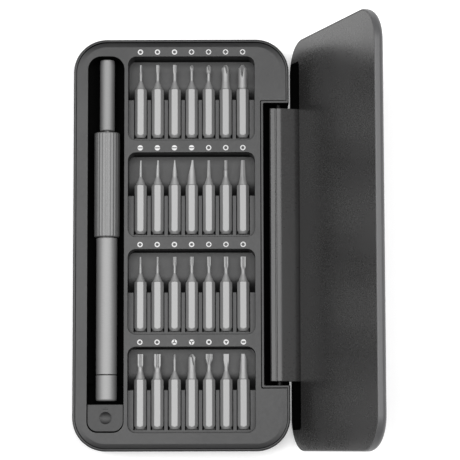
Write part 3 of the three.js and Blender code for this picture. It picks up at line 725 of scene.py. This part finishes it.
def inside_lid(point):
    """Whether a point of the open lid is on the cover's inner faces."""
    at = closed(point)
    return within_case(at, LID_LIP["inner"] - 0.02) and LID_LOW + 0.1 < at.z < LID_HIGH - LID_WALL + 0.05


def make_lid():
    """The cover, its liner and the hinge spine, all on the lid."""
    for make, look, slot, node in [
        (make_lid_shell, "lid", "case_shell", "lid_shell"),
        (make_lid_liner, "liner", "liner_plastic", "lid_liner"),
        (make_spine, "liner", "liner_plastic", "hinge_spine"),
    ]:
        piece = dress(open_lid(make()), look, "lid", slot, node)
        # Painted shade: the cover's inner faces, along the hinge beside the spine, get the near-black material.
        if node == "lid_shell":
            add_painted_shade(piece, inside_lid)


# ---- the driver ----
NOSE = {"foot": 43.4, "stem": 2, "stem_end": 42.2, "neck": 1.2, "neck_start": 42.4, "round": 0.4}
NOSE_FOOT = (0.3, 0.6)
BORE_CORNER = 4.1 / math.sqrt(3)
BORE_STEPS = [(-20, 0.7), (-18, 1), (-0.25, 1), (0.1, 1.14)]
FLUTES = {"count": 24, "steps": 8, "depth": 0.13}
GRIP_ENDS = {
    "low": [(0, 0.4), (0.15, 0.2), (0.3, 0.05), (0.5, 0)],
    "high": [(0.6, 0), (0.35, 0.06), (0.15, 0.2), (0, 0.42)],
}
STEM_ROOM = {"radius": 2.3, "start": 36}
SPIGOT = {"radius": 2.8, "room": 3.1, "room_end": 11.3}
TUBE = {"top": 2.6, "low_round": 0.2, "top_round": 0.35}
BEARING_ROOM = {"radius": 3.05, "end": -40.5}
CAP = {"top": -49, "low_round": 0.8, "top_round": 0.2, "stem": 1.5}
CAP_CENTRE = [(0.3, 0.02), (1.6, 0.02), (1.75, 0)]


def make_nose():
    """The bit socket: a turned steel nose with a hexagonal bore."""
    radius = nose_high.x - AXIS_X
    top, foot, curve = nose_high.y, NOSE["foot"], NOSE["round"]
    profile = [(NOSE["stem"], nose_low.y), (NOSE["stem"], NOSE["stem_end"])]
    profile += [(NOSE["neck"], NOSE["neck_start"]), (NOSE["neck"], foot), (radius - curve, foot)]
    profile += arc((radius - NOSE_FOOT[0], foot + NOSE_FOOT[1]), NOSE_FOOT, -80, 0, 5)
    profile += arc((radius - curve, top - curve), curve, 0, 90, 6)
    nose = turned("driver_nose", AXIS_X, AXIS_Z, profile, 72)
    rings = []
    for rise, wide in BORE_STEPS:
        rings.append([(x, top + rise, z) for x, z in around(AXIS_X, AXIS_Z, BORE_CORNER * wide, 6)])
    combine(nose, [solid("bore", rings)])
    dress(nose, "nose", "handle", "socket_steel", "bit_socket")


def make_grip():
    """The sleeve with fine lengthwise flutes and turned-down ends."""
    radius = grip_high.z - AXIS_Z
    y0, y1 = grip_low.y, grip_high.y
    ends = [(y0 + away, radius - inset) for away, inset in GRIP_ENDS["low"]]
    ends += [(y1 - away, radius - inset) for away, inset in GRIP_ENDS["high"]]
    count = FLUTES["count"] * FLUTES["steps"]
    rings = []
    for y, limit in ends:
        ring = []
        for i in range(count):
            turn = 2 * math.pi * i / count
            wave = 0.5 - 0.5 * math.cos(FLUTES["count"] * turn)
            size = min(radius - FLUTES["depth"] * wave, limit)
            ring.append((AXIS_X + size * math.cos(turn), y, AXIS_Z + size * math.sin(turn)))
        rings.append(ring)
    grip = solid("driver_grip", rings)
    stem = rod("stem_room", AXIS_X, AXIS_Z, STEM_ROOM["radius"], STEM_ROOM["start"], y1 + 1)
    spigot = rod("spigot_room", AXIS_X, AXIS_Z, SPIGOT["room"], y0 - 1, SPIGOT["room_end"])
    combine(grip, [stem, spigot])
    dress(grip, "grip", "handle", "grip_aluminium", "handle_grip", sharp=50)


def make_tube():
    """The plain body tube, with the spigot that the grip sits on and a bore for the bearing."""
    radius = body_high.x - AXIS_X
    y0, top = body_low.y, TUBE["top"]
    low_round, top_round = TUBE["low_round"], TUBE["top_round"]
    profile = arc((radius - low_round, y0 + low_round), low_round, -90, 0, 3)
    profile += arc((radius - top_round, top - top_round), top_round, 0, 90, 4)
    profile += [(SPIGOT["radius"], top), (SPIGOT["radius"], body_high.y)]
    tube = turned("driver_tube", AXIS_X, AXIS_Z, profile, 96)
    room = rod("bearing_room", AXIS_X, AXIS_Z, BEARING_ROOM["radius"], y0 - 1, BEARING_ROOM["end"])
    combine(tube, [room])
    dress(tube, "tube", "handle", "handle_aluminium", "handle_body")


def make_cap():
    """The swivel cap, with a rounded end and the stem that runs in the bearing."""
    radius = cap_high.x - AXIS_X
    y0, top = cap_low.y, CAP["top"]
    low_round, top_round = CAP["low_round"], CAP["top_round"]
    profile = [(size, y0 + rise) for size, rise in CAP_CENTRE]
    profile += arc((radius - low_round, y0 + low_round), low_round, -85, 0, 8)
    profile += arc((radius - top_round, top - top_round), top_round, 0, 90, 3)
    profile += [(CAP["stem"], top), (CAP["stem"], cap_high.y)]
    cap = turned("driver_cap", AXIS_X, AXIS_Z, profile, 96)
    dress(cap, "tube", "end_cap", "handle_aluminium", "swivel_cap")


# ---- drive shapes: a radius from 0 to 1 for an angle ----
UP = math.pi / 2
TINY = 1e-6


def lobed(count, depth, turn=0.0):
    """A circle with that many flutes, whose ridges reach radius 1."""
    return lambda angle: 1 - depth * (0.5 - 0.5 * math.cos(count * (angle - turn)))


def polygon(sides, turn=0.0):
    """A regular polygon with corners at radius 1 and the middle of one side at the turn angle."""
    half = math.pi / sides

    def shape(angle):
        return math.cos(half) / math.cos((angle - turn + half) % (2 * half) - half)

    return shape


def arms(count, width, turn=0.0):
    """Arms of that half width, evenly spaced about the centre."""

    def shape(angle):
        best = width
        for k in range(count):
            away = angle - turn - 2 * math.pi * k / count
            if math.cos(away) > 0:
                side = max(abs(math.sin(away)), TINY)
                best = max(best, min(1 / math.cos(away), width / side, 1.0))
        return best

    return shape


# ---- the bits ----
ROD = 6.2
SHOULDER = 1.75
SHANK_BUTT = [(0, 1.3), (0.08, 1.45), (0.2, 1.56), (0.95, 2.0), (1.15, 2.13), (1.4, 2.35)]
SHANK_FRONT = [(0.75, 2.35), (0.3, 2.13), (0, SHOULDER)]
SECTOR = [math.radians(-28 + 56 * i / 11) for i in range(12)]
TURNS = [UP + k * math.pi / 3 + turn for k in range(6) for turn in SECTOR]
NECK_STEPS = 4
ROD_STEPS = 32
LEAST = 0.04
FADE = 0.7
GROOVE = {"share": 0.72, "power": 0.6, "depth": 0.7, "start": 0.8}
POINT = {"flat": 0.3, "slope": 0.85}
BLADE_CURVE = 1.3
FORK_SHARE = 0.55
PIN_BORE_DEPTH = 1.2
RING_GROOVE = {"half": 0.16, "radius": 1.48, "from_shank": 0.1}


def hex_radius(angle):
    half = math.pi / 6
    away = (angle - UP + half) % (2 * half) - half
    return BIT_FLATS / 2 / math.cos(away)


def share(value, start, end):
    """How far the value has gone from start to end, from 0 to 1."""
    return min(max((value - start) / (end - start), 0), 1)


def fluted(tip, root, shape, reach, fade=FADE):
    """A rod of radius root whose last reach has the shape at radius tip, for an angle and a distance back."""

    def radius(angle, back):
        away = share(back, reach, reach + fade)
        return (tip + (root - tip) * away) * (1 - (1 - shape(angle)) * (1 - away))

    return radius


def tapered(tip, root, shape):
    """A shape that widens from radius tip at the end to radius root at the rod's foot."""
    return lambda angle, back: (tip + (root - tip) * share(back, 0, ROD)) * shape(angle)


def pointed(count, tip, root, groove_at, reach):
    """A pointed drive whose V grooves narrow and run out at reach. One of them lies at the given angle."""

    def radius(angle, back):
        body = tip + (root - tip) * share(back, reach, reach + FADE)
        body = min(body, POINT["flat"] * tip + POINT["slope"] * back)
        half = math.pi / count
        away = abs((angle - groove_at + half) % (2 * half) - half)
        width = GROOVE["share"] * half * (1 - share(back, 0, reach)) + 0.01
        cut = max(0.0, 1 - away / width) ** GROOVE["power"]
        return body * (1 - GROOVE["depth"] * cut * share(reach - back, 0, GROOVE["start"]))

    return radius


def blade(left, right, tall, root, reach):
    """A flat blade seen on its edge, from left and right of the axis at its end to a rod of radius root."""

    def radius(angle, back):
        away = share(back, 0, reach) ** BLADE_CURVE
        side = right if math.cos(angle) > 0 else left
        across = (side + (root - side) * away) / max(abs(math.cos(angle)), TINY)
        up = (tall + (root - tall) * away) / max(abs(math.sin(angle)), TINY)
        return min(across, up, max(root, tall + (root - tall) * away))

    return radius


def forked(tip, root, slope):
    """A prong that is upright on its left and slopes out to the rod on its right."""

    def radius(angle, back):
        side = tip + (root - tip) * share(back, slope, ROD)
        if math.cos(angle) > 0:
            side = min(root, FORK_SHARE * tip + slope * back)
        return min(root, side / max(abs(math.cos(angle)), TINY))

    return radius


DRIVES = {
    "bit_pentalobe_p2": fluted(0.4, 0.53, lobed(5, 0.3, 1.2), 2.2, 1.2),
    "bit_pentalobe_p5": fluted(0.72, 0.62, lobed(5, 0.3, 1.2), 2.4, 1.0),
    "bit_pentalobe_p6": fluted(0.82, 0.68, lobed(5, 0.3, 1.2), 2.6, 1.0),
    "bit_phillips_ph0000": pointed(4, 0.8, 0.53, UP - 0.1, 1.8),
    "bit_phillips_ph000": pointed(4, 0.97, 0.66, UP - 0.1, 2.8),
    "bit_phillips_ph00": pointed(4, 1.45, 1.42, UP - 0.3, 3.6),
    "bit_phillips_ph1": pointed(4, 1.68, 1.66, UP + 0.12, 5.0),
    "bit_slotted_1_0": blade(0.1, 0.32, 0.5, 0.55, 4.6),
    "bit_slotted_1_5": blade(0.1, 0.45, 0.75, 0.72, 5.4),
    "bit_slotted_2_0": blade(0.2, 0.2, 1.0, 0.95, 5.6),
    "bit_slotted_3_0": blade(0.03, 0.62, 1.4, 1.45, 6.2),
    "bit_hex_0_9": tapered(0.52, 0.76, polygon(6)),
    "bit_hex_1_3": fluted(0.64, 0.8, polygon(6), 3.4, 0.5),
    "bit_hex_1_5": tapered(0.82, 1.15, polygon(6)),
    "bit_torx_t2": fluted(0.34, 0.56, lobed(6, 0.3), 2.0, 2.2),
    "bit_torx_t3": fluted(0.36, 0.58, lobed(6, 0.3), 2.2, 2.2),
    "bit_torx_t4": fluted(0.68, 0.52, lobed(6, 0.32, 0.1), 3.0),
    "bit_torx_t5": fluted(0.76, 0.62, lobed(6, 0.32, 0.1), 3.0),
    "bit_torx_t6h": fluted(0.74, 0.62, lobed(6, 0.32, 0.35), 3.2),
    "bit_torx_t8h": fluted(0.92, 0.72, lobed(6, 0.34, 0.4), 3.6, 1.0),
    "bit_torx_t9h": fluted(1.12, 0.8, lobed(6, 0.36, 0.45), 3.6, 1.2),
    "bit_torx_t10h": fluted(1.2, 0.98, lobed(6, 0.36, 0.4), 4.2),
    "bit_torx_t15h": fluted(1.42, 1.18, lobed(6, 0.38, 0.5), 4.2, 1.2),
    "bit_triwing_y0_6": pointed(3, 0.42, 0.5, UP, 1.6),
    "bit_triwing_y3_0": pointed(3, 1.42, 1.4, UP - 0.5, 4.6),
    "bit_spline_s2": fluted(1.36, 0.72, lobed(8, 0.34, 0.2), 1.8, 2.2),
    "bit_triangle_2_3": fluted(1.22, 0.8, polygon(3, UP), 2.2, 3.0),
    "bit_u_2_6": forked(0.9, 1.45, 0.42),
}
PIN_BORES = {
    "bit_torx_t6h": 0.25,
    "bit_torx_t8h": 0.3,
    "bit_torx_t9h": 0.35,
    "bit_torx_t10h": 0.4,
    "bit_torx_t15h": 0.45,
}


def bit_rings(node):
    """Rings of (radius, angle, distance from the butt), from a bit's butt to its tip and any pin bore."""
    drive = DRIVES[node]
    shank = SHANK_BUTT + [(BIT_SHANK - back, limit) for back, limit in SHANK_FRONT]
    rings = [[(min(limit, hex_radius(a)), a, at) for a in TURNS] for at, limit in shank]
    foot = BIT_LENGTH - ROD
    for step in range(1, NECK_STEPS):
        away = step / NECK_STEPS
        at = BIT_SHANK + (foot - BIT_SHANK) * away
        rings.append([(SHOULDER + (drive(a, ROD) - SHOULDER) * away, a, at) for a in TURNS])
    for i in range(ROD_STEPS + 1):
        back = ROD * (1 - i / ROD_STEPS)
        rings.append([(max(drive(a, back), LEAST), a, BIT_LENGTH - back) for a in TURNS])
    if node in PIN_BORES:
        for back in (0, PIN_BORE_DEPTH):
            rings.append([(PIN_BORES[node], a, BIT_LENGTH - back) for a in TURNS])
    return rings


def make_bit(node):
    """A hexagonal shank with chamfered ends, a neck cone, and a rod that ends in its drive."""
    x, z, tip = bit_place(node)
    butt = tip - BIT_LENGTH
    rings = []
    for ring in bit_rings(node):
        rings.append([(x + r * math.cos(a), butt + at, z + r * math.sin(a)) for r, a, at in ring])
    bit = solid(node.replace("bit_", "driver_bit_"), rings)
    if node == "bit_phillips_ph1":
        combine(bit, [ring_groove(x, z, butt + BIT_SHANK + RING_GROOVE["from_shank"])])
    dress(bit, "bit", node, "bit_steel", node, sharp=20)


def ring_groove(x, z, y):
    """The space of a narrow groove turned round a bit at Y."""
    ring = rod("ring", x, z, 3, y - RING_GROOVE["half"], y + RING_GROOVE["half"], 64)
    return combine(ring, [rod("core", x, z, RING_GROOVE["radius"], y - 1, y + 1, 64)])


# ---- the printed symbols ----
RING = 1.0
INK = 0.02
SYMBOL_SIDES = 72
SYMBOL_RISE = 1.75


def symbol(x, y, inner):
    """A thin printed ring about (x, y), whose inner edge is a radius for an angle."""
    angles = [2 * math.pi * i / SYMBOL_SIDES for i in range(SYMBOL_SIDES)]
    edges = [(lambda a: RING, -INK / 2), (lambda a: RING, INK), (inner, INK), (inner, -INK / 2)]
    rings = []
    for edge, rise in [*edges, edges[0]]:
        rings.append([(x + edge(a) * math.cos(a), y + edge(a) * math.sin(a), PANEL + rise) for a in angles])
    return rings


def scaled(shape, size):
    return lambda angle: size * shape(angle)


STAR5, STAR6 = lobed(5, 0.35), lobed(6, 0.35)
SYMBOLS = [
    [scaled(STAR5, 0.7)] * 3 + [scaled(arms(4, 0.45), 0.74)] * 4,
    [scaled(arms(2, 0.2), 0.92)] * 4 + [scaled(polygon(6), 0.68)] * 3,
    [scaled(STAR6, 0.7)] * 4 + [scaled(STAR6, 0.76)] * 3,
    [scaled(STAR6, 0.72)] * 2
    + [scaled(arms(3, 0.2, UP), 0.9), scaled(arms(3, 0.2, -UP), 0.9)]
    + [scaled(polygon(4), 0.7), scaled(polygon(3, UP), 0.75), scaled(arms(2, 0.4), 0.7)],
]


def printed(name, bands):
    """One piece from several printed shapes. Each shape is a closed band of rings."""
    maker = bmesh.new()
    for rings in bands:
        rows = [[maker.verts.new(Vector(point) * MM) for point in ring] for ring in rings[:-1]]
        skin(maker, rows + rows[:1])
    return piece_from(name, maker)


def make_symbols():
    """One printed row of symbols above each row of bits."""
    for row, nodes in enumerate(BIT_ROWS):
        bands = []
        for column, node in enumerate(nodes):
            x, _, tip = bit_place(node)
            bands.append(symbol(x, tip + TIP_GAP + SYMBOL_RISE, SYMBOLS[row][column]))
        piece = printed(f"printed_symbols_{row + 1}", bands)
        dress(piece, "ink", "base", None, sharp=60)


# ---- the room, the lights and the camera ----
FLOOR_HALF = 4000
FLOOR_CORNER = 900
FLOOR_LEVELS = (-9, -0.1)
FLOOR_GLOW = 0.3
SOFTBOX = {"at": (0.0, 0.1, 1.6), "size": (4.8, 1.1), "power": 78}
CAMERA = {"lens": 160.95, "at": (0.01986, -0.07522, 0.77914), "turn": (5.982, 0.1345, -0.136)}


def make_room():
    """The pale floor that the set lies on."""
    outline = rounded(-FLOOR_HALF, FLOOR_HALF, -FLOOR_HALF, FLOOR_HALF, FLOOR_CORNER, FLOOR_CORNER)
    floor = solid("floor", [[(x, y, z) for x, y in outline] for z in FLOOR_LEVELS])
    look = material("floor_paper", grey(0.82), 0.85, grain=60, bump=0.0, mottle=0.01)
    shader = look.node_tree.nodes["Principled BSDF"]
    shader.inputs["Emission Color"].default_value = (1, 1, 1, 1)
    shader.inputs["Emission Strength"].default_value = FLOOR_GLOW
    floor.data.materials.append(look)


def make_lights():
    """One wide softbox straight above, and a white surround that only the camera sees."""
    data = bpy.data.lights.new("softbox_above", "AREA")
    data.shape = "RECTANGLE"
    data.size, data.size_y = SOFTBOX["size"]
    data.energy = SOFTBOX["power"]
    light = bpy.data.objects.new("softbox_above", data)
    light.location = SOFTBOX["at"]
    bpy.context.scene.collection.objects.link(light)
    world = bpy.data.worlds.new("studio")
    world.use_nodes = True
    sky = world.node_tree.nodes["Background"]
    sky.inputs["Color"].default_value = (1, 1, 1, 1)
    sky.inputs["Strength"].default_value = 1.0
    world.cycles_visibility.diffuse = False
    world.cycles_visibility.glossy = False
    bpy.context.scene.world = world


def make_camera():
    """A long lens above the case, tipped a few degrees."""
    data = bpy.data.cameras.new("camera")
    data.sensor_width = 36
    data.lens = CAMERA["lens"]
    camera = bpy.data.objects.new("camera", data)
    camera.location = CAMERA["at"]
    camera.rotation_euler = [math.radians(angle) for angle in CAMERA["turn"]]
    bpy.context.scene.collection.objects.link(camera)
    bpy.context.scene.camera = camera


def dress_hidden_nodes():
    """The inner pieces that stay as the frame has them: pins, spring, bearing and magnets."""
    for part in subparts:
        node = frame["nodes"][part["node"]]
        if node.hide_render:
            continue
        look = "magnet" if part["material_slot"] == "magnet" else "steel"
        if part["node"].startswith("hinge_pin"):
            look = "pin"
        node.data.materials.clear()
        node.data.materials.append(looks[look])


make_case_base()
make_tray()
make_press_pad()
make_lid()
make_nose()
make_grip()
make_tube()
make_cap()
for node in bit_nodes:
    make_bit(node)
make_symbols()
dress_hidden_nodes()
make_room()
make_lights()
make_camera()
bpy.context.scene.view_settings.view_transform = "Standard"
